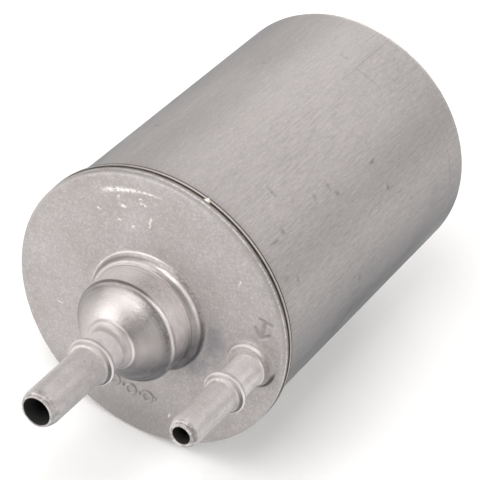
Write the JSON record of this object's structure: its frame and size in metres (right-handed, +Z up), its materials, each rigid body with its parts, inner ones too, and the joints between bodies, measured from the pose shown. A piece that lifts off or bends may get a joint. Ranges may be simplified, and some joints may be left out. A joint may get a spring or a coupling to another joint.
{
  "type": "inline fuel filter",
  "caption": "Inline fuel filter: a round metal can with a side inlet spout, a rear outlet spout and a central return spout fed by a built-in pressure regulator.",
  "frame": {"origin": "on the can's axis, halfway between the cover face and the closed end, where a band clamp holds the filter", "axes": "+Y along the can's axis from the cover towards the closed end and its outlet spout; +X from the axis towards the inlet spout; +Z up with the filter lying on its side"},
  "size_m": [0.0734, 0.1751, 0.0734],
  "materials": {
    "brushed_aluminium": "satin, brushed along the can",
    "blasted_aluminium": "matt, blasted",
    "turned_aluminium": "smooth, turned",
    "weld_metal": "dull weld, slightly sooty",
    "filter_paper": "pleated resin paper",
    "black_nylon": "moulded",
    "plated_steel": "zinc plated",
    "black_rubber": "moulded fuel-proof rubber",
    "spring_steel": "drawn wire and strip"
  },
  "bodies": {
    "housing": {"can": "brushed_aluminium", "front_cover": "blasted_aluminium", "weld_seam": "weld_metal", "inlet_spout": "turned_aluminium", "return_spout": "turned_aluminium", "outlet_spout": "turned_aluminium", "filter_media": "filter_paper", "centre_tube": "black_nylon", "front_end_disc": "plated_steel", "rear_end_disc": "plated_steel", "element_spacer": "black_nylon", "outlet_seal": "black_rubber", "regulator_upper_cup": "plated_steel", "regulator_lower_cup": "plated_steel", "regulator_diaphragm": "black_rubber", "regulator_spring": "spring_steel", "regulator_ball": "plated_steel", "regulator_ball_cage": "plated_steel", "regulator_ball_spring": "spring_steel", "regulator_strainer": "black_nylon", "regulator_body_seal": "black_rubber", "regulator_outlet_seal": "black_rubber", "regulator_clamp_ring": "plated_steel", "retaining_ring": "spring_steel"},
    "valve": {"regulator_valve_seat": "plated_steel", "regulator_spring_seat": "plated_steel"}
  },
  "joints": [
    {"name": "regulator_lift", "type": "slide", "parent": "housing", "child": "valve", "axis": [0, -1, 0], "range_m": [0, 0.0008], "stiffness_N_per_m": 100, "springref_m": -0.002, "deforming": ["regulator_spring", "regulator_diaphragm"]}
  ]
}
